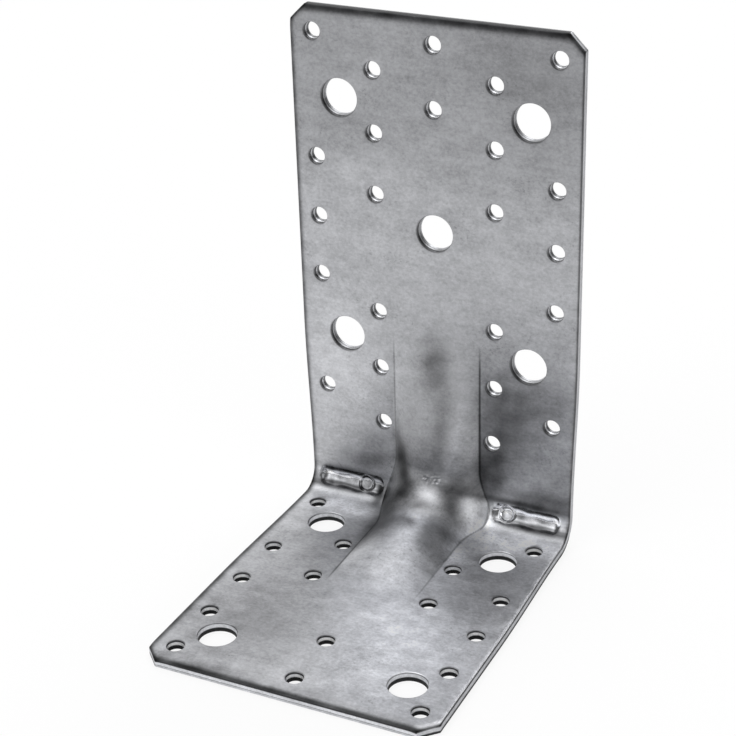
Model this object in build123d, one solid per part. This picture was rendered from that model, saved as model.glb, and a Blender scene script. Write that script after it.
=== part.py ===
"""Reinforced angle bracket, punched and folded from one galvanised steel sheet.

X runs across the width, the upright leg stands along +Z with its outer face on Y = 0, and the
base leg lies along -Y with its underside on Z = 0. The origin is the heel at mid-width, where
the two outer planes would meet. All sizes are in millimetres.
"""

import os
from math import cos, radians, sin, sqrt

from build123d import *

# Folded sheet
width = 95.0
leg_height = 170.0
base_length = 113.0
sheet = 3.0
bend_inner = 7.0
corner_cut = 5.0

# The press draws both long edges, and the holes near the bend, in towards the middle
draw_in = 1.2
draw_reach = 65.0

# Punched holes, in rows counted from each free end, half a pitch apart
pitch = 20.0
end_margin = 8.0
nail_hole = 5.4
bolt_hole = 12.0
bolt_offset = 31.5

# Pressed rib across the bend
rib_width = 30.0
rib_height = 6.0
rib_turn = 12.0
rib_up = 68.0
rib_along = 58.0
rib_fade = 0.02
rib_stations = 5

# Groove that the bending tool leaves along the bend, one on each side of the rib
groove_radius = 4.0
groove_depth = 1.0
groove_from = 19.5
groove_to = 43.5
groove_tilt = 20.0

# Values that follow from the sizes above
bend_outer = bend_inner + sheet
half_width = width / 2
row_step = pitch / 2
rib_half = rib_width / 2
turn_centre = sheet + rib_height + rib_turn
diagonal_rise = sqrt(2) - 1
clearance = 1.0

# Columns of nail holes and bolt holes in each row, as distances from the middle
LEG_NAILS = {
    0: (0, 2 * pitch),
    1: (pitch,),
    2: (0,),
    3: (pitch,),
    4: (2 * pitch,),
    5: (pitch,),
    6: (2 * pitch,),
    8: (2 * pitch,),
    9: (pitch,),
    11: (pitch,),
    12: (2 * pitch,),
    13: (pitch,),
}
LEG_BOLTS = {2: (bolt_offset,), 6: (0,), 10: (bolt_offset,)}
BASE_NAILS = {
    0: (0, 2 * pitch),
    2: (0, 2 * pitch),
    4: (2 * pitch,),
    5: (pitch,),
    6: (2 * pitch,),
    7: (pitch,),
    9: (2 * pitch,),
}
BASE_BOLTS = {1: (bolt_offset,), 8: (bolt_offset,)}


def drawn(distance):
    """How far the sheet is drawn in, at a distance from the heel along either leg."""
    part_way = (distance - bend_outer) / (draw_reach - bend_outer)
    part_way = min(max(part_way, 0.0), 1.0)
    return draw_in * (1 - part_way * part_way * (3 - 2 * part_way))


def across_the_diagonal(shape):
    """The same shape on the other leg."""
    return mirror(shape, about=Plane(origin=(0, 0, 0), z_dir=(0, 1, 1)))


def angle_profile(thickness, inner_radius):
    """Section of the folded sheet, seen along X, with the heel at the origin."""
    with BuildSketch(Plane.YZ) as profile:
        with BuildLine():
            Polyline(
                (0, 0),
                (0, leg_height),
                (-thickness, leg_height),
                (-thickness, thickness),
                (-base_length, thickness),
                (-base_length, 0),
                close=True,
            )
        make_face()
        heel = profile.vertices().sort_by_distance((0, 0, 0))[0]
        fillet(heel, inner_radius + thickness)
        inside = profile.vertices().sort_by_distance((0, -thickness, thickness))[0]
        fillet(inside, inner_radius)
    return profile.sketch


def folded_sheet():
    """Plain folded sheet with its free corners cut off."""
    solid = extrude(angle_profile(sheet, bend_inner), amount=half_width, both=True)
    leg_corners = solid.edges().filter_by(Axis.Y).filter_by_position(Axis.Z, leg_height, leg_height)
    base_corners = solid.edges().filter_by(Axis.Z).filter_by_position(Axis.Y, -base_length, -base_length)
    return chamfer(leg_corners + base_corners, corner_cut)


def edge_trim():
    """Slivers outside the drawn-in long edges of the upright leg, right side."""
    edge = half_width - draw_in
    with BuildSketch(Plane.XZ) as outline:
        with BuildLine():
            Polyline(
                (edge, bend_outer),
                (edge, -clearance),
                (half_width + clearance, -clearance),
                (half_width + clearance, draw_reach),
                (half_width, draw_reach),
            )
            Spline((half_width, draw_reach), (edge, bend_outer), tangents=[(0, -1), (0, -1)])
        make_face()
    return Pos(0, clearance, 0) * extrude(outline.sketch, amount=bend_outer + clearance)


def half_chord(apex, radius, low):
    """Half the width of a crown's arc where it comes down to the low height."""
    fall = apex - low
    return sqrt(fall * (2 * radius - fall))


def arch(apex, radius, low, skirt):
    """Arc down to the low height, on a straight skirt that runs further down."""
    half = half_chord(apex, radius, low)
    with BuildSketch() as section:
        with BuildLine():
            ThreePointArc((-half, low), (0, apex), (half, low))
            Polyline((half, low), (half, low - skirt), (-half, low - skirt), (-half, low))
        make_face()
    return section.sketch


def rib_radius(height):
    """Radius of the rib's crown where it stands this high above the inner face."""
    return (rib_half * rib_half + height * height) / (2 * height)


def rib_run(reach, hollow):
    """Rib along the upright leg, from its turn to where it fades out at the reach.

    The hollow is the back of the same pressed sheet: its crown is one thickness further back.
    """
    back = sheet if hollow else 0.0
    skirt = sheet if hollow else sheet / 2
    sections = []
    for station in range(rib_stations):
        part_way = station / (rib_stations - 1)
        rise = part_way * part_way * (3 - 2 * part_way)
        height = rib_fade + (rib_height - rib_fade) * rise
        level = reach + (turn_centre - reach) * part_way
        plane = Plane(origin=(0, -sheet, level), x_dir=(1, 0, 0), z_dir=(0, 0, -1))
        sections.append(plane * arch(height - back, rib_radius(height) - back, -back, skirt))
    return loft(sections)


def rib_corner(hollow):
    """Rib where it turns from one leg to the other, about an axis in front of the bend.

    Its arc runs on below the legs' face, down to the bend, so its foot spreads there.
    """
    back = sheet if hollow else 0.0
    low = -back - diagonal_rise * (turn_centre - bend_outer)
    plane = Plane(origin=(0, -sheet, turn_centre), x_dir=(1, 0, 0), z_dir=(0, 0, -1))
    section = plane * arch(rib_height - back, rib_radius(rib_height) - back, low, clearance)
    turn_axis = Axis(origin=(0, -turn_centre, turn_centre), direction=(1, 0, 0))
    return revolve(section, axis=turn_axis, revolution_arc=-90)


def rib_form(hollow):
    """Whole rib over both legs, as its front or as the hollow behind it."""
    on_leg = rib_run(rib_up, hollow)
    on_base = across_the_diagonal(rib_run(rib_along, hollow))
    return on_leg + rib_corner(hollow) + on_base


def inside_the_outer_faces():
    """Everything in front of the bracket's outer faces, to trim what would stick out behind."""
    reach = max(rib_up, rib_along)
    with BuildSketch(Plane.YZ) as region:
        with BuildLine():
            Polyline((0, 0), (0, reach), (-reach, reach), (-reach, 0), close=True)
        make_face()
        fillet(region.vertices().sort_by_distance((0, 0, 0))[0], bend_outer)
    return extrude(region.sketch, amount=half_width - draw_in, both=True)


def bend_groove():
    """Round-ended groove on the inside of the bend, on the right of the rib."""
    from_bend_axis = bend_inner + groove_depth - groove_radius
    angle = radians(45 - groove_tilt)
    y = from_bend_axis * cos(angle) - bend_outer
    z = bend_outer - from_bend_axis * sin(angle)
    tip = half_chord(groove_radius, groove_radius, groove_radius - groove_depth)
    length = groove_to - groove_from - 2 * tip
    rod = Pos((groove_from + groove_to) / 2, y, z) * Rot(0, 90, 0) * Cylinder(groove_radius, length)
    for x in (groove_from + tip, groove_to - tip):
        rod += Pos(x, y, z) * Sphere(groove_radius)
    return rod


def both_sides(shape):
    """A shape and its mirror image across the middle of the bracket."""
    return [shape, mirror(shape, about=Plane.YZ)]


def punches(rows, diameter, length):
    """Punches through the upright leg, for rows counted down from its free end."""
    tools = []
    for row, columns in rows.items():
        height = length - end_margin - row * row_step
        for column in columns:
            across = column - drawn(height) if column else 0.0
            tool = Rot(90, 0, 0) * Cylinder(diameter / 2, 3 * sheet)
            places = (-across, across) if column else (0.0,)
            tools += [Pos(x, -sheet / 2, height) * tool for x in places]
    return tools


def make_bracket():
    """The finished bracket as one solid."""
    solid = folded_sheet()
    trims = both_sides(edge_trim())
    solid -= trims + [across_the_diagonal(trim) for trim in trims]
    solid += rib_form(hollow=False) & inside_the_outer_faces()
    solid -= rib_form(hollow=True)
    solid -= both_sides(bend_groove())
    solid -= punches(LEG_NAILS, nail_hole, leg_height)
    solid -= punches(LEG_BOLTS, bolt_hole, leg_height)
    base_tools = punches(BASE_NAILS, nail_hole, base_length)
    base_tools += punches(BASE_BOLTS, bolt_hole, base_length)
    solid -= [across_the_diagonal(tool) for tool in base_tools]
    return solid


os.makedirs("parts", exist_ok=True)
bracket = make_bracket()
print("volume in cubic centimetres:", round(bracket.volume / 1000, 2))
print("solids:", len(bracket.solids()))
export_step(bracket, "parts/angle_bracket.step")
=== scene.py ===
"""Looks of a reinforced angle bracket: the pressed sheet with its rims and tool marks, its zinc finish,
and the floor, light and camera around it.

The sheet is worked out in millimetres, in the frame of the CAD part: X across the width, the upright leg
along +Z with its outer face on Y = 0, and the base leg along -Y with its underside on Z = 0. A place on the
sheet is given by x and by its station, the distance along the section. Stations count from the level where
the rib starts its turn: above 0 on the upright leg, below -CORNER_SPAN on the base leg, and in between each
station is a ray that turns about the rib's own turning axis.
"""

from math import atan2, cos, hypot, log, pi, radians, sin

import bmesh
import bpy
import numpy as np
from mathutils import Matrix, Vector
from mathutils.geometry import delaunay_2d_cdt


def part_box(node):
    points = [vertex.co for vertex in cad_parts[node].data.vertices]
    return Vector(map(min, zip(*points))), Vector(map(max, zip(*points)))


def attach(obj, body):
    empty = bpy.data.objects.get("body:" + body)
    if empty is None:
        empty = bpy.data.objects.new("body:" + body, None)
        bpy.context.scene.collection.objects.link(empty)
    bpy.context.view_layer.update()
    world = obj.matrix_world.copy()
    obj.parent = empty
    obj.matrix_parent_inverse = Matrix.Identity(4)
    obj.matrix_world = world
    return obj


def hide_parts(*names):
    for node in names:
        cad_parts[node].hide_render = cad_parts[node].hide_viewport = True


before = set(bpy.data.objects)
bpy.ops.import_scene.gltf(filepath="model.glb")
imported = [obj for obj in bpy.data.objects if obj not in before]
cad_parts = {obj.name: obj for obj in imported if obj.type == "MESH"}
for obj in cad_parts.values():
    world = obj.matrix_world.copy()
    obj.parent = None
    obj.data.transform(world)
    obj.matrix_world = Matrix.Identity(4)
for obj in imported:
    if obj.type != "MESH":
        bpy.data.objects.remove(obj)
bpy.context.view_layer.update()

NODE = "angle_bracket"
MM = 0.001

# Folded sheet, its overall sizes from the frame
node_low, node_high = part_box(NODE)
WIDTH = (node_high.x - node_low.x) / MM
LEG = node_high.z / MM
BASE = -node_low.y / MM
SHEET = 3.0
BEND_INNER = 7.0
BEND_OUTER = BEND_INNER + SHEET
CORNER_CUT = 5.0
DRAW_IN = 1.2
DRAW_REACH = 65.0

# Small rounds at the corners of the outline, and what each takes off the sides that it joins: its radius
# times the tangent of half the 45 degrees that the outline turns there
CORNER_ROUND = 0.8
CORNER_TRIM = CORNER_ROUND * 0.41421

# Punched holes
PITCH = 20.0
ROW_STEP = PITCH / 2
END_MARGIN = 8.0
NAIL_RADIUS = 2.7
BOLT_RADIUS = 6.0
BOLT_OFFSET = 31.5
LEG_NAILS = {
    0: (0, 2 * PITCH),
    1: (PITCH,),
    2: (0,),
    3: (PITCH,),
    4: (2 * PITCH,),
    5: (PITCH,),
    6: (2 * PITCH,),
    8: (2 * PITCH,),
    9: (PITCH,),
    11: (PITCH,),
    12: (2 * PITCH,),
    13: (PITCH,),
}
LEG_BOLTS = {2: (BOLT_OFFSET,), 6: (0,), 10: (BOLT_OFFSET,)}
BASE_NAILS = {
    0: (0, 2 * PITCH),
    2: (0, 2 * PITCH),
    4: (2 * PITCH,),
    5: (PITCH,),
    6: (2 * PITCH,),
    7: (PITCH,),
    9: (2 * PITCH,),
}
BASE_BOLTS = {1: (BOLT_OFFSET,), 8: (BOLT_OFFSET,)}

# Pressed rib, with the height that its crown never falls under and the stations that its turn takes up
RIB_HALF = 15.0
RIB_HEIGHT = 6.0
RIB_TURN = 12.0
RIB_UP = 68.0
RIB_ALONG = 58.0
TURN_CENTRE = SHEET + RIB_HEIGHT + RIB_TURN
RIB_FADE = 0.001
CORNER_SPAN = 30.0
INNER_REACH = TURN_CENTRE - SHEET
OUTER_REACH = TURN_CENTRE

# How softly the rib runs into the sheet in front and behind, as a share of its height
CREASE_ROUND = 0.09
HOLLOW_ROUND = 0.15

# Groove on each side of the rib, and how softly it runs into the bend
GROOVE_RADIUS = 4.0
GROOVE_DEPTH = 1.0
GROOVE_FROM = 19.5
GROOVE_TO = 43.5
GROOVE_TILT = 20.0
GROOVE_BLEND = 0.25

# Unevenness of the bend round the grooves: depth and wavelength
GROOVE_WAVE = 0.16
GROOVE_WAVELENGTH = 5.0


def from_turning_axis(from_bend_axis):
    """Place on the groove's own line, as distances forward and down from the rib's turning axis."""
    offset = TURN_CENTRE - BEND_OUTER
    angle = radians(45 - GROOVE_TILT)
    return offset + from_bend_axis * cos(angle), offset + from_bend_axis * sin(angle)


GROOVE_AXIS = from_turning_axis(BEND_INNER + GROOVE_DEPTH - GROOVE_RADIUS)
GROOVE_FLOOR = from_turning_axis(BEND_INNER + GROOVE_DEPTH)
GROOVE_STATION = -CORNER_SPAN * atan2(GROOVE_FLOOR[1], GROOVE_FLOOR[0]) / (pi / 2)

# Round mark that a pin of the bending tool leaves in each groove: its places across, its radius, the height
# and width of its ring, how softly its face ends and how flat that is, and half the size of its mesh patch
PIN_PLACES = (-26.3, 24.7)
PIN_RADIUS = 2.5
PIN_RING = 0.3
PIN_RING_WIDTH = 0.32
PIN_EDGE = 0.6
PIN_FLATNESS = 0.8
PIN_PATCH = 3.6

# Wrinkles on top of the rib's turn: station, reach across and along, half the size of their mesh patch, depth
# and wavelength
WRINKLE_STATION = -5.0
WRINKLE_SPREAD = (3.5, 2.2)
WRINKLE_PATCH = 5.0
WRINKLE_DEPTH = 0.2
WRINKLE_WAVELENGTH = 1.9

# Droop of the face towards the sheared outline: width and depth at the ends, cut corners and long edges, and
# how late it steepens
END_DROOP = (4.0, 0.5)
CUT_DROOP = (2.6, 0.4)
SIDE_DROOP = (1.3, 0.22)
DROOP_POWER = 2.2

# Rims: how far the face rolls over into the cut, and the break at the far side
ROLLOVER = 0.28
BREAK = 0.12

# Depth where the sheared land starts, with True for the holes of the upright leg, and where it ends, with
# True for the holes of the base leg
LAND_DEPTH = {False: 0.8, True: 1.25}
SHINE_DEPTH = {False: 1.8, True: 1.55}

# How far the fracture leans into the metal at the outline, and with True for the holes, where zinc gathers
FRACTURE = {False: 0.02, True: -0.2}

# Depth of the shoulder above the sheared land, and of the tear and the fracture's middle below it
SHOULDER = 0.25
TEAR = 0.15
FRACTURE_MIDDLE = 0.4

# Share of its brightness that the cut metal keeps, in the rollover, its shoulder, the sheared land, the
# tear line and the fracture: painted shade and painted highlights that differ by place, over the real
# contrast between the shiny land and the rough fracture
CUT_SHARES = {
    "leg_bolt": (0.12, 0.08, 0.8, 0.3, 0.9),
    "leg_nail": (0.25, 0.2, 1.4, 0.25, 0.5),
    "base_bolt": (0.5, 1.7, 1.7, 0.12, 0.08),
    "base_nail": (0.1, 0.3, 2.3, 0.12, 0.05),
    "top": (0.08, 0.08, 0.12, 0.15, 0.5),
    "front": (0.1, 0.25, 1.75, 0.4, 1.45),
    "leg_side": (0.25, 1.0, 1.15, 0.25, 1.2),
    "base_side": (0.2, 1.2, 1.2, 0.2, 0.12),
    "leg_cut": (0.1, 0.5, 1.6, 0.3, 1.3),
    "base_cut": (0.4, 1.3, 1.3, 0.2, 0.12),
}

# How squarely a wall faces along the leg, at least, at the ends and at the cut corners
END_FACING = 0.9
CUT_FACING = 0.3

# Painted shade and painted highlights on the zinc, as name, x, station, reach across, reach along, lean and
# share of the brightness kept: painted highlights above 1, and painted shade below it
PAINTED_SHADE_MARKS = (
    ("top_right_painted_shade", 31, 135, 22, 16, 0, 0.76),
    ("left_pale", -33, 25, 14, 28, 0, 1.3),
    ("rib_top_spot", -0.5, 36, 4.8, 8.5, 0, 0.42),
    ("right_wing", 23, 21, 8, 15, 0, 0.42),
    ("right_wing_upper", 36, 28, 12, 10, 0, 0.62),
    ("right_wing_foot", 37, -6.5, 15, 3.0, 0, 0.36),
    ("right_wing_corner", 20, 1, 4, 12, 0, 0.38),
    ("left_wing_foot", -26, -6, 9, 5, 0, 0.5),
    ("right_wing_shade", 34, 14, 17, 30, 0, 0.76),
    ("left_wing_painted_shade", -23, -1, 6, 9, 0, 0.72),
    ("rib_right_flank", 15, -1, 2.5, 8, 0, 0.33),
    ("rib_left_flank", -11.3, -3, 2.7, 10, -0.15, 0.11),
    ("rib_left_shade", -9, 16, 5, 14, 0, 0.8),
    ("rib_shade", -4, 3, 8, 9, 0, 0.66),
    ("rib_dark_streak", 3, 16, 3, 13, 0, 0.65),
    ("rib_pale_streak", 6.5, 5, 3, 15, 0.2, 1.6),
    ("rib_right_shade", 10.5, -6, 4, 6, 0, 0.48),
    ("rib_turn_gap", 8, -15, 3.6, 6, 0, 0.26),
    ("rib_turn_left", -7, -14, 4.5, 6, 0, 0.62),
    ("rib_turn", -1, -20, 4.5, 4, 0, 0.25),
    ("rib_turn_foot", 6, -34, 3.5, 7, 0, 0.7),
    ("rib_turn_shine", 18, -16, 4, 6, 0, 1.9),
    ("left_bend_shine", -29, -23, 15, 5.5, 0, 2.1),
    ("right_bend_shine", 35, -22, 15, 6.5, 0, 2.1),
    ("left_groove_shine", -34, -11.8, 12, 1.3, 0, 2.0),
    ("right_groove_shine", 32, -11.4, 13, 1.3, 0, 2.2),
    ("left_groove_foot", -35, -15.0, 13, 1.5, 0, 0.08),
    ("right_groove_foot", 36, -15.2, 12, 1.3, 0, 0.06),
    ("left_groove_brow", -32, -10.3, 10, 0.9, 0, 0.25),
    ("right_groove_brow", 30, -9.3, 14, 1.1, 0, 0.13),
    ("base_shine", 20, -83, 19, 32, 0, 1.6),
    ("base_pale", 24, -75, 40, 55, 0, 1.2),
    ("base_front_painted_shade", -15, -96, 20, 11, 0, 0.84),
    ("foot_streak", 0.0, -30, 3.6, 12, -0.16, 1.8),
    ("base_left_front_painted_shade", -30, -92, 19, 38, 0, 0.62),
    ("foot_left_flank", -13, -34, 3.2, 9, 0.1, 0.4),
    ("base_left_shade", -19, -42, 11, 15, 0, 0.72),
    ("base_right_painted_shade", 31, -57, 10, 12, 0, 0.72),
    ("foot_right_shine", 21, -26, 5, 8, -0.3, 1.9),
    ("foot_left_corner", -14, -20, 4, 6, 0, 0.5),
    ("left_corner_spot", -20.3, -15.5, 1.8, 3, 0, 0.15),
    ("left_groove_end", -42, -12, 2.5, 1.5, 0, 2.0),
    ("right_groove_end", 43, -13, 3, 2, 0, 2.0),
    ("right_ring_shine", 24, -11, 4, 2.5, 0, 1.8),
    ("foot_left_crease", -16, -27, 2.2, 9, 0, 0.5),
    ("foot_right_flank", 17, -34, 4, 9, 0, 1.9),
    ("foot_flare_shine", 20, -9, 5, 6, 0, 1.5),
)

# The brightest that the painted highlights make the zinc, and the unevenness of the painted marks and its
# wavelength
BRIGHTEST = 2.1
MARK_WAVE = 0.2
MARK_WAVELENGTH = 7.0

# Marks that are rougher than the rest, by this much of what the polish takes off the grooves' roughness
FROSTED = ("left_bend_shine", "right_bend_shine")
FROST = 1.2

# Painted shade darkening the top of the upright leg: the station where it starts, how softly, and the share
# kept
TOP_SHADE_FROM = 101.0
TOP_SHADE_EDGE = 3.0
TOP_SHADE_SHARE = 0.8

# Painted shade beside the outline, where the face rolls over into the cut: reach and share kept at the long
# edges, the top, the front and cut corners
LEFT_RIM = (1.2, 0.28)
BASE_LEFT_RIM = (1.8, 0.35)
RIGHT_RIM = (0.45, 0.25)
TOP_RIM = (1.7, 0.14)
FRONT_RIM = (4.2, 0.68)
FRONT_LINE = (1.35, 0.09)
CUT_RIM = (0.8, 0.3)

# Painted shade in crescents beside the holes: share kept, reach, and the side of the hole, with True for the
# base leg
HOLE_SHADE = 0.1
HOLE_SHADE_REACH = 0.34
HOLE_SHADE_SIDE = {False: (-0.71, -0.71), True: (-0.48, 0.88)}

# Painted shade in the creases beside the rib: side, share kept on the upright and the base, and round the
# corner, with the stations between which one share passes into the next
CREASES = ((1, (0.15, 0.6), 0.3), (-1, (0.5, 0.3), 0.5))
CREASE_STATIONS = (-26, -18, -12, -4)
CREASE_WIDTH = 0.26
CREASE_FADE = 0.8

# Depth at which a groove's floor is fully polished
POLISHED_FROM = 0.2

# Mesh spacing, in rows beside the creases and the outline and in patches round the pin marks and wrinkles,
# and the angle in degrees from which its edges are sharp
FINE = 0.6
GROOVE_GRID = 0.5
COARSE = 1.8
BACK_FINE = 1.0
BACK_COARSE = 3.0
SUPPORT = 0.3
OUTLINE_SUPPORTS = (0.7, 1.2, 1.8, 2.4, 3.1)
CREASE_OFFSETS = (-1.3, -0.85, -0.5, -0.25, 0.0, 0.25, 0.5, 0.85, 1.3)
PATCH_GRID = 0.22
SHARP_FROM = 35
LONG_EDGE_STEP = 1.0
SHORT_EDGE_STEP = 1.2
NAIL_POINTS = 40
BOLT_POINTS = 72

# Room that free points leave beside the rims and beside the last row along the outline, and how much nearer
# to another side a row's own points may come
RIM_ROOM = 0.35
ROW_ROOM = 0.4
ROW_SLACK = 0.03

# How far the finer grid reaches past the rib, across it and along it
FINE_ACROSS = 8
FINE_ALONG = 2

# Zinc: each layer's grain in millimetres along X, Y and Z, its detail and its roughness, then the size of the
# spangle, the specks' level, contrasts and strength, the grooves' polish and the steel's colour
CLOUDS = ((26.0, 16.0, 16.0), 3.0, 0.5)
MOTTLE = ((7.0, 4.5, 4.5), 4.0, 0.6)
GRAIN = ((1.1, 0.9, 0.9), 3.0, 0.7)
ROLLED = ((34.0, 1.1, 1.1), 3.0, 0.6)
SPECK_PATCHES = ((17.0, 12.0, 12.0), 3.0, 0.5)
SPECKS = ((0.9, 0.8, 0.8), 2.0, 0.6)
SPANGLE = 1.7
SPECK_LEVEL = 0.07
SPECK_CONTRAST = 9.0
PATCH_CONTRAST = 7.0
SPECK_SHARE = 0.22
POLISH = 0.24
STEEL = (0.45, 0.455, 0.473)

# Studio: soft lights on the world's sphere, as name, direction as azimuth from the front and elevation,
# brightness and tightness
STUDIO_DIM = 0.12
STUDIO_LIGHTS = (
    ("behind_overhead", 180, 44, 6.0, 28),
    ("overhead", 180, 76, 3.0, 28),
    ("front_left", 325, 42, 2.6, 22),
    ("front_low", 333, 14, 0.65, 36),
    ("left_top", 268, 66, 4.3, 30),
    ("front_top", 0, 60, 1.4, 28),
    ("right_side", 62, 30, 2.8, 28),
    ("left_back", 228, 20, 2.4, 28),
)

# Backdrop behind the object, which only reflections see: brightness, azimuth, and where it ends and how
# sharply
BACKDROP = 0.73
BACKDROP_AZIMUTH = 205
BACKDROP_EDGE = 0.82
BACKDROP_SHARPNESS = 6.0

# Floor: its colour, how much of it the camera and reflections see as plain white, and half its size and its
# level in metres
FLOOR_COLOUR = 0.8
FLOOR_WHITE = 0.85
FLOOR_WHITE_IN_METAL = 0.3
FLOOR_HALF = 3.0
FLOOR_LEVEL = -0.0001

# Camera: azimuth, elevation and roll in degrees, place in millimetres, and its focal length, optical centre
# and frame in pixels
CAMERA_AZIMUTH = 25.58
CAMERA_ELEVATION = 27.396
CAMERA_ROLL = -1.278
CAMERA_PLACE = (220.778, -488.639, 327.439)
FOCAL_LENGTH = 1872.196
OPTICAL_CENTRE = (403.829, 381.35)
FRAME_SIZE = 736.0
SENSOR = 36
NEAREST_SEEN = 0.01


def drawn(distance):
    """How far the long edges are drawn in, at a distance from the heel along either leg."""
    part_way = np.clip((distance - BEND_OUTER) / (DRAW_REACH - BEND_OUTER), 0.0, 1.0)
    return DRAW_IN * (1 - part_way * part_way * (3 - 2 * part_way))


def smooth_max(a, b, blend):
    """Larger of two values, rounded where they cross."""
    blend = np.maximum(blend, 1e-6)
    near = np.maximum(blend - np.abs(a - b), 0.0) / blend
    return np.maximum(a, b) + blend * near * near / 4


def smooth_min(a, b, blend):
    """Smaller of two values, rounded where they cross."""
    return -smooth_max(-a, -b, blend)


def turn_at(station):
    """Angle of the ray at a station, from 0 on the upright leg to a right angle on the base."""
    return np.clip(-station / CORNER_SPAN, 0.0, 1.0) * pi / 2


def level_at(station):
    """Distance from the heel along its leg, for a station outside the corner."""
    return TURN_CENTRE + np.maximum(station, 0.0) + np.maximum(-station - CORNER_SPAN, 0.0)


def place(x, station, reach):
    """Points in space at a reach along the rays of the stations."""
    turn = turn_at(station)
    y = -TURN_CENTRE - np.maximum(-station - CORNER_SPAN, 0.0)
    z = TURN_CENTRE + np.maximum(station, 0.0)
    return np.stack((x, y + reach * np.cos(turn), z - reach * np.sin(turn)), axis=-1)


def wall_reach(turn, skin):
    """Reach of the plain folded sheet, on the face that lies skin above the outer one."""
    flat = TURN_CENTRE - skin
    offset = TURN_CENTRE - BEND_OUTER
    across = np.cos(turn) + np.sin(turn)
    steeper = np.maximum(np.cos(turn), np.sin(turn))
    along = offset * across
    bend = along + np.sqrt(along * along - 2 * offset * offset + (BEND_OUTER - skin) ** 2)
    is_flat = (across - steeper) <= steeper * offset / flat
    return np.where(is_flat, flat / steeper, bend)


def wall_distance(station):
    """Distance from the heel along its leg of the plain folded sheet's inner face, at a station."""
    spot = place(0.0 * station, station, wall_reach(turn_at(station), SHEET))
    return np.maximum(-spot[..., 1], spot[..., 2])


def rib_rise(station):
    """Height of the rib's crown over the inner face."""
    reach = np.where(station > -CORNER_SPAN / 2, RIB_UP, RIB_ALONG)
    part_way = np.clip((reach - level_at(station)) / (reach - TURN_CENTRE), 0.0, 1.0)
    return np.maximum(RIB_HEIGHT * part_way * part_way * (3 - 2 * part_way), RIB_FADE)


def rib_radius(height):
    """Radius of the rib's crown where it stands this high."""
    return (RIB_HALF * RIB_HALF + height * height) / (2 * height)


def crown(x, height, back):
    """Height of the rib over the inner face, on its front or on the hollow one thickness behind it.

    Near the ends of the arc, far below the sheet, the height stays level.
    """
    arc = rib_radius(height) - back
    used = 0.96
    inside = np.minimum(np.abs(x), used * arc)
    return height - back - inside * inside / (arc + np.sqrt(arc * arc - inside * inside))


def groove_reach(x, turn):
    """Reach of the groove's floor along each ray, or far inside the sheet beside the groove."""
    forward, down = GROOVE_AXIS
    tip = (GROOVE_RADIUS ** 2 - (GROOVE_RADIUS - GROOVE_DEPTH) ** 2) ** 0.5
    beyond = np.maximum(GROOVE_FROM + tip - np.abs(x), np.abs(x) - GROOVE_TO + tip)
    beyond = np.maximum(beyond, 0.0)
    nearest = forward * np.cos(turn) + down * np.sin(turn)
    inside = GROOVE_RADIUS ** 2 - beyond * beyond - (forward ** 2 + down ** 2 - nearest * nearest)
    return np.where(inside > 0, nearest + np.sqrt(np.maximum(inside, 0.0)), 0.0)


def ripple(x, station, seed, wavelength):
    """Gentle unevenness between about -1 and 1, made of plane waves in seeded directions."""
    random = np.random.default_rng(seed)
    waves = 7
    total = 0.0
    for direction, phase, stretch in random.uniform(0, 1, (waves, 3)):
        scale = 2 * pi / (wavelength * (0.7 + 0.8 * stretch))
        across, along = cos(2 * pi * direction), sin(2 * pi * direction)
        total = total + np.sin(scale * (x * across + station * along) + 2 * pi * phase)
    return total / (waves / 2)


def from_outline(x, station):
    """Distances to the nearer long edge, the nearer end and the nearer cut corner."""
    side = WIDTH / 2 - np.abs(x) - drawn(wall_distance(station))
    end = np.minimum(LEG - TURN_CENTRE - station, station + CORNER_SPAN + BASE - TURN_CENTRE)
    cut = (WIDTH / 2 - np.abs(x) + end - CORNER_CUT) / 2 ** 0.5
    return side, end, cut


def droop(x, station):
    """How deep the face rolls down towards the sheared outline."""
    deepest = 0.0
    for distance, (width, depth) in zip(from_outline(x, station), (SIDE_DROOP, END_DROOP, CUT_DROOP)):
        share = np.clip(1 - distance / width, 0.0, 1.0)
        deepest = deepest + depth * share ** DROOP_POWER
    return deepest


def pin_mark(x, station):
    """How far the pin's ring and flat face stand up from the groove's floor."""
    to_mm = hypot(*GROOVE_FLOOR) * (pi / 2) / CORNER_SPAN
    down = (station - GROOVE_STATION) * to_mm
    across = np.where(x > 0, x - PIN_PLACES[1], x - PIN_PLACES[0])
    from_centre = np.hypot(across, down)
    ring = PIN_RING * np.exp(-((from_centre - PIN_RADIUS) / PIN_RING_WIDTH) ** 2)
    face = np.clip((PIN_RADIUS - from_centre) / PIN_EDGE, 0.0, 1.0)
    face = face * down * down / (2 * GROOVE_RADIUS) * -PIN_FLATNESS
    return ring + face


def inner_reach(x, station):
    """Reach of the face that shows inside the angle."""
    turn = turn_at(station)
    height = rib_rise(station)
    rib = INNER_REACH - crown(x, height, 0.0)
    reach = smooth_min(wall_reach(turn, SHEET), rib, CREASE_ROUND * height)
    wave = GROOVE_WAVE * ripple(x, station, 3, GROOVE_WAVELENGTH) * (np.sin(2 * turn) > 0)
    reach = smooth_max(reach, groove_reach(x, turn) + wave, GROOVE_BLEND) - pin_mark(x, station)
    across, along = x / WRINKLE_SPREAD[0], (station - WRINKLE_STATION) / WRINKLE_SPREAD[1]
    near_wrinkle = np.exp(-across ** 2 - along ** 2)
    reach = reach + WRINKLE_DEPTH * near_wrinkle * ripple(x, station, 8, WRINKLE_WAVELENGTH)
    return reach + droop(x, station)


def outer_reach(x, station):
    """Reach of the face at the back and underneath, with the rib's hollow."""
    turn = turn_at(station)
    height = rib_rise(station)
    hollow = INNER_REACH - crown(x, height, SHEET)
    return smooth_min(wall_reach(turn, 0.0), hollow, HOLLOW_ROUND * height)


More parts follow.
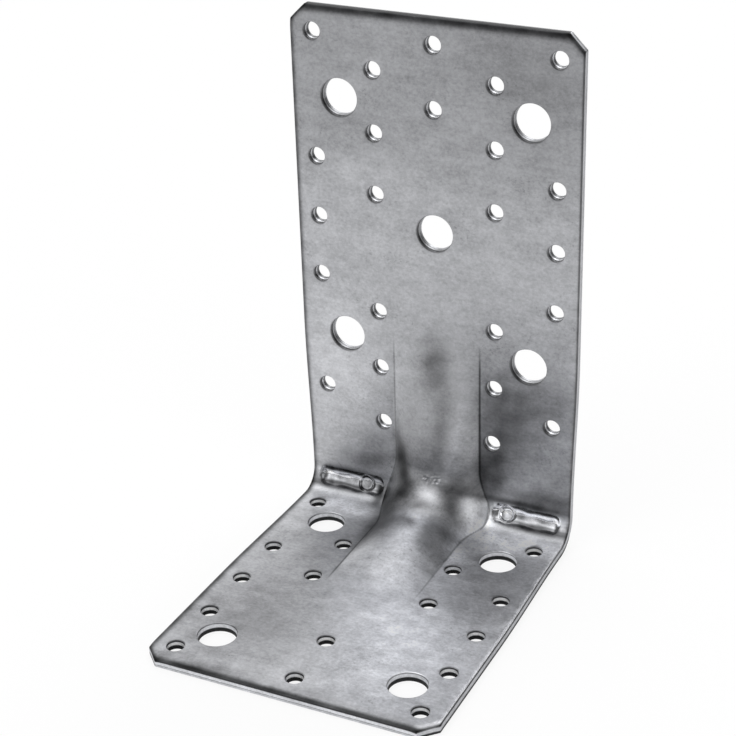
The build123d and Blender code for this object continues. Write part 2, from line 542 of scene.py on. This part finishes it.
def station_of(distance, on_base, reach):
    """Station of a point on a flat face, from its distance to the heel."""
    short = np.maximum(TURN_CENTRE - distance, 0.0)
    away = np.maximum(distance - TURN_CENTRE, 0.0)
    turned = np.arctan2(short, reach) / (pi / 2) * CORNER_SPAN
    return np.where(on_base, turned - CORNER_SPAN - away, away - turned)


class Rim:
    """Closed edge of the sheet, the outline or a hole, with points as many on every ring."""

    def __init__(self, x, along, inward_x, inward_along, hole=False, on_base=False):
        self.x = np.array(x)
        self.along = np.array(along)
        self.inward_x = np.array(inward_x)
        self.inward_along = np.array(inward_along)
        self.hole = hole
        self.on_base = on_base

    def ring(self, inset, reach):
        """The rim moved into the metal, as x and station on the face at this reach."""
        x = self.x + inset * self.inward_x
        along = self.along + inset * self.inward_along
        if self.hole:
            along = station_of(along, self.on_base, reach)
        return x, along

    def wall_ring(self, inset, depth):
        """Points in space on the cut wall, at a depth below the inner face."""
        x, front = self.ring(inset, INNER_REACH)
        x, back = self.ring(inset, OUTER_REACH)
        near = place(x, front, inner_reach(x, front))
        far = place(x, back, outer_reach(x, back))
        return near + (far - near) * depth / SHEET


def outline_rim():
    """Outline of the sheet with its drawn-in long edges, cut corners and small corner rounds."""
    top = LEG - TURN_CENTRE
    bottom = -CORNER_SPAN - (BASE - TURN_CENTRE)
    half = WIDTH / 2
    sides = [
        ((half, top - CORNER_CUT), (half, bottom + CORNER_CUT), True),
        ((half, bottom + CORNER_CUT), (half - CORNER_CUT, bottom), False),
        ((half - CORNER_CUT, bottom), (CORNER_CUT - half, bottom), False),
        ((CORNER_CUT - half, bottom), (-half, bottom + CORNER_CUT), False),
        ((-half, bottom + CORNER_CUT), (-half, top - CORNER_CUT), True),
        ((-half, top - CORNER_CUT), (CORNER_CUT - half, top), False),
        ((CORNER_CUT - half, top), (half - CORNER_CUT, top), False),
        ((half - CORNER_CUT, top), (half, top - CORNER_CUT), False),
    ]
    points = []
    for number, (start, end, long_edge) in enumerate(sides):
        run_x, run_along = end[0] - start[0], end[1] - start[1]
        length = hypot(run_x, run_along)
        run_x, run_along = run_x / length, run_along / length
        inward = (run_along, -run_x)
        straight = length - 2 * CORNER_TRIM
        count = max(int(straight / (LONG_EDGE_STEP if long_edge else SHORT_EDGE_STEP)), 3)
        for step in range(count + 1):
            travelled = CORNER_TRIM + straight * step / count
            x = start[0] + run_x * travelled
            along = start[1] + run_along * travelled
            if long_edge:
                narrow = float(drawn(wall_distance(along)))
                x -= narrow if x > 0 else -narrow
            points.append((x, along, inward[0], inward[1]))
        after = sides[(number + 1) % len(sides)]
        points += corner_round(end, (run_x, run_along), after)
    return Rim(*zip(*points))


def corner_round(corner, run, after):
    """Points of the small round between one side of the outline and the next."""
    next_x, next_along = after[1][0] - after[0][0], after[1][1] - after[0][1]
    length = hypot(next_x, next_along)
    turned = (next_x / length, next_along / length)
    inward = np.array((run[1], -run[0]))
    start = np.array(corner) - CORNER_TRIM * np.array(run)
    centre = start + CORNER_ROUND * inward
    first = -inward
    last = -np.array((turned[1], -turned[0]))
    points = []
    for step in (0.2, 0.4, 0.6, 0.8):
        direction = first * (1 - step) + last * step
        direction /= np.linalg.norm(direction)
        spot = centre + CORNER_ROUND * direction
        points.append((spot[0], spot[1], -direction[0], -direction[1]))
    return points


def hole_rims():
    """Rims of all the punched holes."""
    rims = []
    patterns = (
        (LEG_NAILS, NAIL_RADIUS, LEG, False, NAIL_POINTS),
        (LEG_BOLTS, BOLT_RADIUS, LEG, False, BOLT_POINTS),
        (BASE_NAILS, NAIL_RADIUS, BASE, True, NAIL_POINTS),
        (BASE_BOLTS, BOLT_RADIUS, BASE, True, BOLT_POINTS),
    )
    for rows, radius, length, on_base, count in patterns:
        for row, columns in rows.items():
            distance = length - END_MARGIN - row * ROW_STEP
            for column in columns:
                across = column - float(drawn(distance)) if column else 0.0
                for x in ((-across, across) if column else (0.0,)):
                    rims.append(round_rim(x, distance, radius, on_base, count))
    return rims


def round_rim(x, distance, radius, on_base, count):
    """Rim of one round hole."""
    angles = np.arange(count) * 2 * pi / count
    across, along = np.cos(angles), np.sin(angles)
    rim = Rim(x + radius * across, distance + radius * along, across, along, True, on_base)
    rim.centre = (x, distance)
    rim.radius = radius
    return rim


def crease_line(station):
    """Where the rib meets the sheet, as a distance from the middle."""
    turn = turn_at(station)
    height = rib_rise(station)
    fall = height + wall_reach(turn, SHEET) - INNER_REACH
    return np.sqrt(fall * (2 * rib_radius(height) - fall))


def crease_rows():
    """Rows of points beside the rib's creases, each as x and station arrays."""
    stations = np.arange(-CORNER_SPAN - RIB_ALONG + TURN_CENTRE, RIB_UP - TURN_CENTRE, FINE)
    line = crease_line(stations)
    return [(side * (line + offset), stations) for side in (-1, 1) for offset in CREASE_OFFSETS]


def grid(x_from, x_to, from_station, to_station, step):
    """Grid of points, as x and station arrays."""
    xs = np.linspace(x_from, x_to, max(int((x_to - x_from) / step), 1) + 1)
    stations = np.linspace(from_station, to_station, max(int((to_station - from_station) / step), 1) + 1)
    x, station = np.meshgrid(xs, stations)
    return x.ravel(), station.ravel()


def outside_zone(points, half_x, low, high):
    """Which points lie outside a zone round the middle."""
    x, station = points
    return (np.abs(x) > half_x) | (station < low) | (station > high)


def face_points(back):
    """Points spread over one face, denser where it is curved."""
    top = LEG - TURN_CENTRE
    bottom = -CORNER_SPAN - (BASE - TURN_CENTRE)
    rib_low = -CORNER_SPAN - (RIB_ALONG - TURN_CENTRE) - FINE_ALONG
    rib_high = RIB_UP - TURN_CENTRE + FINE_ALONG
    half = WIDTH / 2
    fine, coarse = (BACK_FINE, BACK_COARSE) if back else (FINE, COARSE)
    bend = BACK_FINE if back else GROOVE_GRID
    zone_half = RIB_HALF + FINE_ACROSS
    zones = [grid(-zone_half, zone_half, rib_low, rib_high, fine)]
    bend_points = grid(-half, half, -CORNER_SPAN, 0.0, bend)
    keep = outside_zone(bend_points, zone_half + bend / 2, rib_low, rib_high)
    zones.append((bend_points[0][keep], bend_points[1][keep]))
    plain = grid(-half, half, bottom, top, coarse)
    keep = outside_zone(plain, zone_half + coarse / 2, rib_low - coarse / 2, rib_high + coarse / 2)
    keep &= (plain[1] > coarse / 2) | (plain[1] < -CORNER_SPAN - coarse / 2)
    zones.append((plain[0][keep], plain[1][keep]))
    x = np.concatenate([zone[0] for zone in zones])
    station = np.concatenate([zone[1] for zone in zones])
    if not back:
        apart = np.abs(np.abs(x) - crease_line(station)) > CREASE_OFFSETS[-1] + FINE / 2
        apart |= (station < rib_low + FINE_ALONG) | (station > rib_high - FINE_ALONG)
        rows = crease_rows()
        x = np.concatenate([x[apart]] + [row[0] for row in rows])
        station = np.concatenate([station[apart]] + [row[1] for row in rows])
        x, station = with_patches(x, station)
    return x, station


def with_patches(x, station):
    """The points with finer ones round the pin marks and the wrinkles."""
    patches = [(pin, GROOVE_STATION, PIN_PATCH) for pin in PIN_PLACES]
    patches.append((0.0, WRINKLE_STATION, WRINKLE_PATCH))
    for centre_x, centre_station, half in patches:
        low, high = centre_station - half, centre_station + half
        away = np.maximum(np.abs(x - centre_x), np.abs(station - centre_station))
        apart = away > half + PATCH_GRID
        fine = grid(centre_x - half, centre_x + half, low, high, PATCH_GRID)
        x = np.concatenate((x[apart], fine[0]))
        station = np.concatenate((station[apart], fine[1]))
    return x, station


def inside_polygon(x, y, polygon_x, polygon_y):
    """Which points lie inside a closed polygon."""
    inside = np.zeros(len(x), dtype=bool)
    before_x, before_y = np.roll(polygon_x, 1), np.roll(polygon_y, 1)
    for x0, y0, x1, y1 in zip(before_x, before_y, polygon_x, polygon_y):
        crosses = (y0 > y) != (y1 > y)
        if y0 != y1:
            inside ^= crosses & (x < (x1 - x0) * (y - y0) / (y1 - y0) + x0)
    return inside


def covers(rim, ring, x, station, margin):
    """Which points lie in a hole or within a margin of its rim."""
    centre_x, centre_station = float(np.mean(ring[0])), float(np.mean(ring[1]))
    return np.hypot(x - centre_x, station - centre_station) < rim.radius + margin


def free_points(outline, holes, rings, insets, back):
    """Points of one face that stay clear of its rims, with rows beside the outline on the front."""
    inset = insets[False]
    x, station = face_points(back)
    nearest = np.minimum.reduce(from_outline(x, station))
    if back:
        keep = nearest > inset + SUPPORT + RIM_ROOM
    else:
        keep = nearest > inset + OUTLINE_SUPPORTS[-1] + ROW_ROOM
        for support in OUTLINE_SUPPORTS:
            row_x, row_station = outline.ring(inset + support, INNER_REACH)
            clear = np.minimum.reduce(from_outline(row_x, row_station)) > inset + support - ROW_SLACK
            x = np.concatenate((x, row_x[clear]))
            station = np.concatenate((station, row_station[clear]))
            keep = np.concatenate((keep, clear[clear]))
    for rim, ring in zip(holes, rings[1:]):
        keep &= ~covers(rim, ring, x, station, insets[True] + SUPPORT + RIM_ROOM)
    return x[keep], station[keep]


def closed_edges(loops):
    """Edges round each loop, for loops whose points follow each other in one list."""
    edges = []
    start = 0
    for loop in loops:
        count = len(loop[0])
        edges += [(start + step, start + (step + 1) % count) for step in range(count)]
        start += count
    return edges


def in_the_metal(x, station, holes, rings):
    """Which points lie inside the outline and outside every hole."""
    inside = inside_polygon(x, station, *rings[0])
    for rim, ring in zip(holes, rings[1:]):
        near = np.nonzero(covers(rim, ring, x, station, 1.0))[0]
        in_hole = inside_polygon(x[near], station[near], *ring)
        inside[near[in_hole]] = False
    return inside


def face_mesh(outline, holes, back):
    """One face of the sheet: its points as x and station, its triangles, and how many points each rim has."""
    reach = OUTER_REACH if back else INNER_REACH
    insets = {hole: FRACTURE[hole] + BREAK if back else ROLLOVER for hole in (False, True)}
    rims = [outline] + holes
    rings = [rim.ring(insets[rim.hole], reach) for rim in rims]
    loops = rings + [rim.ring(insets[rim.hole] + SUPPORT, reach) for rim in rims]
    free = free_points(outline, holes, rings, insets, back)
    all_x = np.concatenate([loop[0] for loop in loops] + [free[0]])
    all_station = np.concatenate([loop[1] for loop in loops] + [free[1]])
    spots = [Vector(spot) for spot in zip(all_x.tolist(), all_station.tolist())]
    result = delaunay_2d_cdt(spots, closed_edges(loops), [], 0, 1e-7)
    if len(result[0]) != len(spots):
        raise ValueError("points of a face ran together")
    triangles = np.array(result[2])
    out_x = np.array([spot.x for spot in result[0]])
    out_station = np.array([spot.y for spot in result[0]])
    middles = out_x[triangles].mean(axis=1), out_station[triangles].mean(axis=1)
    keep = in_the_metal(*middles, holes, rings)
    return out_x, out_station, triangles[keep], [len(ring[0]) for ring in rings]


def wall_profile(rim):
    """Rings down a cut wall, as inset, depth and the number of their zone in CUT_SHARES."""
    rings = []
    lean = FRACTURE[rim.hole]
    land = LAND_DEPTH[rim.hole and not rim.on_base]
    torn = SHINE_DEPTH[rim.hole and rim.on_base]
    for degrees in (15, 30, 45, 60, 75, 90):
        angle = radians(degrees)
        rings.append((ROLLOVER * (1 - sin(angle)), ROLLOVER * (1 - cos(angle)), 0))
    rings.append((0.0, land - SHOULDER, 1))
    rings.append((0.0, land, 2))
    rings.append((0.0, torn, 2))
    rings.append((lean * 0.3, torn + TEAR, 3))
    rings.append((lean * 0.5, torn + FRACTURE_MIDDLE, 4))
    rings.append((lean, SHEET - BREAK, 4))
    return rings


def cut_places(rim):
    """Name in CUT_SHARES of each point of a rim."""
    if rim.hole:
        leg = "base" if rim.on_base else "leg"
        return [leg + ("_bolt" if rim.radius == BOLT_RADIUS else "_nail")] * len(rim.x)
    names = []
    for along, turned in zip(rim.along, rim.inward_along):
        leg = "leg" if along > -CORNER_SPAN / 2 else "base"
        if abs(turned) > END_FACING:
            names.append("top" if leg == "leg" else "front")
        else:
            names.append(leg + ("_cut" if abs(turned) > CUT_FACING else "_side"))
    return names


def in_groove(x, station):
    """1 on the groove's floor, which the tool has polished, and 0 outside it."""
    turn = turn_at(station)
    deeper = groove_reach(x, turn) - wall_reach(turn, SHEET)
    return np.clip(deeper / POLISHED_FROM, 0.0, 1.0)


def mark_strength(mark, x, station):
    """1 at the middle of a mark, falling to 0 round it."""
    _name, centre, middle, width, length, lean, _share = mark
    across = (x - centre - lean * (station - middle)) / width
    along = (station - middle) / length
    return np.exp(-across * across - along * along)


def polish_at(x, station):
    """1 on the grooves' polished floors, and less than 0 at the frosted marks."""
    polish = in_groove(x, station)
    for mark in PAINTED_SHADE_MARKS:
        if mark[0] in FROSTED:
            polish = polish - FROST * mark_strength(mark, x, station)
    return polish


def crescents(x, station):
    """Nearly 1 at the lower left of each hole in the upright leg and behind the base's nail holes, where
    painted shade lies.
    """
    nearness = 0.0
    for rim in hole_rims():
        if rim.on_base and rim.radius == BOLT_RADIUS:
            continue
        middle = -CORNER_SPAN - rim.centre[1] + TURN_CENTRE if rim.on_base else rim.centre[1] - TURN_CENTRE
        across, along = x - rim.centre[0], station - middle
        away = np.hypot(across, along)
        towards_x, towards_station = HOLE_SHADE_SIDE[rim.on_base]
        facing = np.clip((across * towards_x + along * towards_station) / (away + 0.01), 0.0, 1.0)
        nearness = nearness + facing * np.exp(-((away - rim.radius) / HOLE_SHADE_REACH) ** 2)
    return nearness


def outline_shade(x, station, uneven):
    """Logarithm of the brightness kept along the sheared outline: painted shade where the face rolls over."""
    shade = 0.0
    far = 99.0
    side, end, cut = from_outline(x, station)
    top = np.where(station > 0, end, far)
    front = np.where(station > 0, far, end)
    left = np.where(x < 0, side, far)
    base_left = np.where(station < -CORNER_SPAN / 2, left, far)
    right = np.where(x > 0, side, far)
    rims = ((left, LEFT_RIM), (base_left, BASE_LEFT_RIM), (right, RIGHT_RIM), (top, TOP_RIM),
            (front, FRONT_RIM), (front, FRONT_LINE), (cut, CUT_RIM))
    for distance, (width, share) in rims:
        shade = shade + log(share) * uneven * np.exp(-np.maximum(distance / width, 0.0) ** 3)
    return shade


def crease_shade(x, station):
    """Logarithm of the brightness kept in the creases beside the rib: painted shade."""
    shade = 0.0
    line = crease_line(station)
    fade = np.clip(rib_rise(station) / CREASE_FADE, 0.0, 1.0)
    for side, legs_share, corner_share in CREASES:
        known = (legs_share[1], corner_share, corner_share, legs_share[0])
        shares = np.interp(station, CREASE_STATIONS, known)
        apart = (side * x - line) / CREASE_WIDTH
        shade = shade + np.log(shares) * fade * np.exp(-apart * apart)
    return shade


def painted_shade_and_highlights(x, station):
    """Share of its brightness that the zinc keeps on the inner face: painted shade at its creases, rims,
    holes and top, and painted shade and painted highlights at its marks.
    """
    uneven = 1 + MARK_WAVE * ripple(x, station, 5, MARK_WAVELENGTH)
    shade = 0.0
    # Painted shade and painted highlights of the marks, then painted shade at the top of the upright leg,
    # along the outline, beside the holes and in the creases
    for mark in PAINTED_SHADE_MARKS:
        shade = shade + log(mark[-1]) * uneven * mark_strength(mark, x, station)
    into_band = (station - TOP_SHADE_FROM) / TOP_SHADE_EDGE
    shade = shade + log(TOP_SHADE_SHARE) / (1 + np.exp(-into_band))
    shade = shade + outline_shade(x, station, uneven)
    shade = shade + log(HOLE_SHADE) * crescents(x, station)
    shade = shade + crease_shade(x, station)
    return np.exp(np.minimum(shade, log(BRIGHTEST)))


def sheet_mesh():
    """Whole sheet as points, faces, which faces are cut walls, and the shade and polish of each point."""
    outline = outline_rim()
    holes = hole_rims()
    rims = [outline] + holes
    front = face_mesh(outline, holes, back=False)
    rear = face_mesh(outline, holes, back=True)
    points = [place(front[0], front[1], inner_reach(front[0], front[1]))]
    points.append(place(rear[0], rear[1], outer_reach(rear[0], rear[1])))
    shades = [painted_shade_and_highlights(front[0], front[1]), np.ones(len(rear[0]))]
    rear_start = len(front[0])
    faces = [tuple(int(corner) for corner in triangle) for triangle in front[2]]
    faces += [tuple(rear_start + int(corner) for corner in triangle) for triangle in rear[2]]
    cut = [False] * len(faces)
    total = rear_start + len(rear[0])
    start = 0
    for rim, count in zip(rims, front[3]):
        previous = list(range(start, start + count))
        # Painted shade and painted highlights on the cut walls, by place and zone, blended from the painted
        # shade beside the rim
        cut_shares = np.array([CUT_SHARES[name] for name in cut_places(rim)])
        beside = painted_shade_and_highlights(*rim.ring(ROLLOVER, INNER_REACH))
        for inset, depth, zone in wall_profile(rim):
            points.append(rim.wall_ring(inset, depth))
            rolled = min(depth / ROLLOVER, 1.0) if zone == 0 else 1.0
            shades.append(beside * (1 - rolled) + cut_shares[:, zone] * rolled)
            current = list(range(total, total + count))
            total += count
            add_strip(faces, previous, current)
            cut += [depth > ROLLOVER] * count
            previous = current
        current = list(range(rear_start + start, rear_start + start + count))
        add_strip(faces, previous, current)
        cut += [True] * count
        start += count
    polish = np.zeros(total)
    polish[:rear_start] = polish_at(front[0], front[1])
    return np.concatenate(points), faces, cut, np.concatenate(shades), polish


def add_strip(faces, upper, lower):
    """Quads between two rings of as many points."""
    count = len(upper)
    for step in range(count):
        after = (step + 1) % count
        faces.append((upper[step], upper[after], lower[after], lower[step]))


def make_sheet(face_material, cut_material):
    """The bracket's visible sheet as a Blender object."""
    points, faces, cut, shade, polish = sheet_mesh()
    mesh = bpy.data.meshes.new("bracket_sheet")
    mesh.from_pydata((points * MM).tolist(), [], faces)
    mesh.materials.append(face_material)
    mesh.materials.append(cut_material)
    mesh.polygons.foreach_set("material_index", [int(is_cut) for is_cut in cut])
    mesh.update()
    for name, values in (("shade", shade), ("polish", polish)):
        painted = mesh.attributes.new(name, "FLOAT", "POINT")
        painted.data.foreach_set("value", values.astype(np.float32))
    fix_normals(mesh)
    mesh.shade_smooth()
    mesh.set_sharp_from_angle(angle=radians(SHARP_FROM))
    sheet = bpy.data.objects.new("bracket_sheet", mesh)
    bpy.context.collection.objects.link(sheet)
    return sheet


def fix_normals(mesh):
    """Turns all faces outwards."""
    work = bmesh.new()
    work.from_mesh(mesh)
    bmesh.ops.recalc_face_normals(work, faces=work.faces)
    work.to_mesh(mesh)
    work.free()


class Graph:
    """Short calls for wiring shader nodes."""

    def __init__(self, tree):
        self.nodes = tree.nodes
        self.links = tree.links

    def node(self, kind, inputs=(), **settings):
        """New node with its settings, and its inputs given as (name or index, value or socket)."""
        node = self.nodes.new(kind)
        for name, value in settings.items():
            setattr(node, name, value)
        for key, value in inputs:
            if isinstance(value, bpy.types.NodeSocket):
                self.links.new(value, node.inputs[key])
            else:
                node.inputs[key].default_value = value
        return node

    def math(self, operation, first, second=0.0, clamp=False):
        """Result of one calculation on two values."""
        inputs = ((0, first), (1, second))
        return self.node("ShaderNodeMath", inputs, operation=operation, use_clamp=clamp).outputs[0]

    def add(self, first, second):
        """Sum of two values."""
        return self.math("ADD", first, second)

    def times(self, first, second):
        """Product of two values."""
        return self.math("MULTIPLY", first, second)

    def place(self, size):
        """Place on the object, counted in steps of the given size in millimetres along X, Y and Z."""
        coordinates = self.node("ShaderNodeTexCoord").outputs["Object"]
        steps = tuple(1 / (MM * step) for step in size)
        scaled = self.node("ShaderNodeVectorMath", ((0, coordinates), (1, steps)), operation="MULTIPLY")
        return scaled.outputs[0]

    def noise(self, size, detail, roughness):
        """Soft noise round 0, its grain given in millimetres along X, Y and Z."""
        inputs = (("Vector", self.place(size)), ("Scale", 1.0), ("Detail", detail), ("Roughness", roughness))
        noise = self.node("ShaderNodeTexNoise", inputs)
        return self.math("SUBTRACT", noise.outputs[0], 0.5)

    def cells(self, size):
        """A random value round 0 for each grain of the given size in millimetres."""
        inputs = (("Vector", self.place((size, size, size))), ("Scale", 1.0))
        cells = self.node("ShaderNodeTexVoronoi", inputs)
        grey = self.node("ShaderNodeSeparateColor", ((0, cells.outputs["Color"]),))
        return self.math("SUBTRACT", grey.outputs[0], 0.5)

    def pepper(self):
        """Fine dull specks, gathered in patches."""
        patches = self.math("MULTIPLY", self.noise(*SPECK_PATCHES), PATCH_CONTRAST, clamp=True)
        specks = self.math("SUBTRACT", self.noise(*SPECKS), SPECK_LEVEL)
        return self.times(patches, self.math("MULTIPLY", specks, SPECK_CONTRAST, clamp=True))

    def painted(self, name):
        """Value painted on the mesh's points."""
        return self.node("ShaderNodeAttribute", attribute_name=name).outputs["Fac"]


def zinc(name, streaks, roughness):
    """Hot-dip zinc: cloudy, finely spangled, with faint rolling streaks and dull specks.

    The strengths beside the layers are shares of brightness, then of roughness, then heights in millimetres.
    """
    material = bpy.data.materials.new(name)
    material.use_nodes = True
    graph = Graph(material.node_tree)
    shader = graph.nodes["Principled BSDF"]
    shader.inputs["Metallic"].default_value = 1.0
    clouds, mottle, grain = graph.noise(*CLOUDS), graph.noise(*MOTTLE), graph.noise(*GRAIN)
    spangle = graph.cells(SPANGLE)
    rolled = graph.noise(*ROLLED)
    tone = 1.0
    layers = ((clouds, 0.45), (mottle, 0.7), (grain, 0.8), (spangle, 0.07), (rolled, streaks))
    for layer, strength in layers:
        tone = graph.add(tone, graph.times(layer, strength))
    tone = graph.math("SUBTRACT", tone, graph.times(graph.pepper(), SPECK_SHARE))
    # Painted shade and painted highlights from the mesh's points darken or brighten the colour
    tone = graph.times(tone, graph.painted("shade"))
    tint = graph.node("ShaderNodeVectorMath", ((0, STEEL), ("Scale", tone)), operation="SCALE")
    graph.links.new(tint.outputs[0], shader.inputs["Base Color"])
    rough = graph.math("SUBTRACT", roughness, graph.times(graph.painted("polish"), POLISH))
    for layer, strength in ((mottle, 0.22), (spangle, 0.05), (grain, 0.12)):
        rough = graph.add(rough, graph.times(layer, strength))
    graph.links.new(rough, shader.inputs["Roughness"])
    height = graph.add(graph.times(grain, 0.012), graph.times(mottle, 0.05))
    height = graph.add(height, graph.times(rolled, 0.006))
    inputs = (("Height", height), ("Distance", MM), ("Strength", 1.0))
    bump = graph.node("ShaderNodeBump", inputs)
    graph.links.new(bump.outputs[0], shader.inputs["Normal"])
    return material


def make_camera():
    """Camera at the photograph's viewing angle."""
    azimuth, elevation = radians(CAMERA_AZIMUTH), radians(CAMERA_ELEVATION)
    roll = radians(CAMERA_ROLL)
    right = Vector((cos(azimuth), sin(azimuth), 0))
    back = Vector((sin(azimuth) * cos(elevation), -cos(azimuth) * cos(elevation), sin(elevation)))
    up = back.cross(right)
    rolled_right = right * cos(roll) + up * sin(roll)
    rolled_up = up * cos(roll) - right * sin(roll)
    camera = bpy.data.objects.new("camera", bpy.data.cameras.new("camera"))
    bpy.context.collection.objects.link(camera)
    turned = Matrix((rolled_right, rolled_up, back)).transposed().to_4x4()
    camera.matrix_world = Matrix.Translation(Vector(CAMERA_PLACE) * MM) @ turned
    camera.data.sensor_width = SENSOR
    camera.data.lens = FOCAL_LENGTH / FRAME_SIZE * SENSOR
    camera.data.shift_x = (FRAME_SIZE / 2 - OPTICAL_CENTRE[0]) / FRAME_SIZE
    camera.data.shift_y = (OPTICAL_CENTRE[1] - FRAME_SIZE / 2) / FRAME_SIZE
    camera.data.clip_start = NEAREST_SEEN
    bpy.context.scene.camera = camera


def towards(azimuth, elevation):
    """Unit vector for an azimuth counted from the front (-Y) to the right (+X), and an elevation."""
    turn, rise = radians(azimuth), radians(elevation)
    return (sin(turn) * cos(rise), -cos(turn) * cos(rise), sin(rise))


def make_world():
    """Dim studio with soft lights round it and a pale backdrop, all white to the camera."""
    world = bpy.data.worlds.new("studio")
    bpy.context.scene.world = world
    world.use_nodes = True
    graph = Graph(world.node_tree)
    background = graph.nodes["Background"]
    direction = graph.node("ShaderNodeTexCoord").outputs["Generated"]
    seen = graph.node("ShaderNodeLightPath")
    light = STUDIO_DIM
    for _name, azimuth, elevation, brightness, tightness in STUDIO_LIGHTS:
        inputs = ((0, direction), (1, towards(azimuth, elevation)))
        facing = graph.node("ShaderNodeVectorMath", inputs, operation="DOT_PRODUCT").outputs["Value"]
        fall = graph.times(graph.math("SUBTRACT", facing, 1.0), float(tightness))
        light = graph.add(light, graph.times(graph.math("EXPONENT", fall), brightness))
    inputs = ((0, direction), (1, towards(BACKDROP_AZIMUTH, 0)))
    behind = graph.node("ShaderNodeVectorMath", inputs, operation="DOT_PRODUCT").outputs["Value"]
    past_edge = graph.math("SUBTRACT", behind, BACKDROP_EDGE)
    backdrop = graph.math("MULTIPLY", past_edge, BACKDROP_SHARPNESS, clamp=True)
    backdrop = graph.times(backdrop, graph.times(seen.outputs["Is Glossy Ray"], BACKDROP))
    light = graph.math("MAXIMUM", light, backdrop)
    camera = seen.outputs["Is Camera Ray"]
    unseen = graph.math("SUBTRACT", 1.0, camera)
    strength = graph.add(graph.times(light, unseen), camera)
    background.inputs["Color"].default_value = (1, 1, 1, 1)
    graph.links.new(strength, background.inputs["Strength"])


def make_floor():
    """Pale floor, white to the camera and to reflections but for the object's shadow."""
    mesh = bpy.data.meshes.new("floor")
    sides = ((-1, -1), (1, -1), (1, 1), (-1, 1))
    corners = [(FLOOR_HALF * x, FLOOR_HALF * y, FLOOR_LEVEL) for x, y in sides]
    mesh.from_pydata(corners, [], [(0, 1, 2, 3)])
    floor = bpy.data.objects.new("floor", mesh)
    bpy.context.collection.objects.link(floor)
    material = bpy.data.materials.new("floor")
    material.use_nodes = True
    material.node_tree.nodes.clear()
    graph = Graph(material.node_tree)
    colour = (FLOOR_COLOUR, FLOOR_COLOUR, FLOOR_COLOUR, 1)
    paper = graph.node("ShaderNodeBsdfDiffuse", (("Color", colour),))
    glow = graph.node("ShaderNodeEmission", (("Strength", 1.0),))
    seen = graph.node("ShaderNodeLightPath")
    share = graph.times(seen.outputs["Is Camera Ray"], FLOOR_WHITE)
    share = graph.add(share, graph.times(seen.outputs["Is Glossy Ray"], FLOOR_WHITE_IN_METAL))
    inputs = ((0, share), (1, paper.outputs[0]), (2, glow.outputs[0]))
    mix = graph.node("ShaderNodeMixShader", inputs)
    graph.node("ShaderNodeOutputMaterial", (("Surface", mix.outputs[0]),))
    mesh.materials.append(material)


face_steel = zinc("zinc_face", streaks=0.2, roughness=0.36)
cut_steel = zinc("zinc_cut", streaks=0.0, roughness=0.5)
sheet = make_sheet(face_steel, cut_steel)
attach(sheet, "root")
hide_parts(NODE)
make_camera()
make_world()
make_floor()
bpy.context.scene.view_settings.view_transform = "Standard"
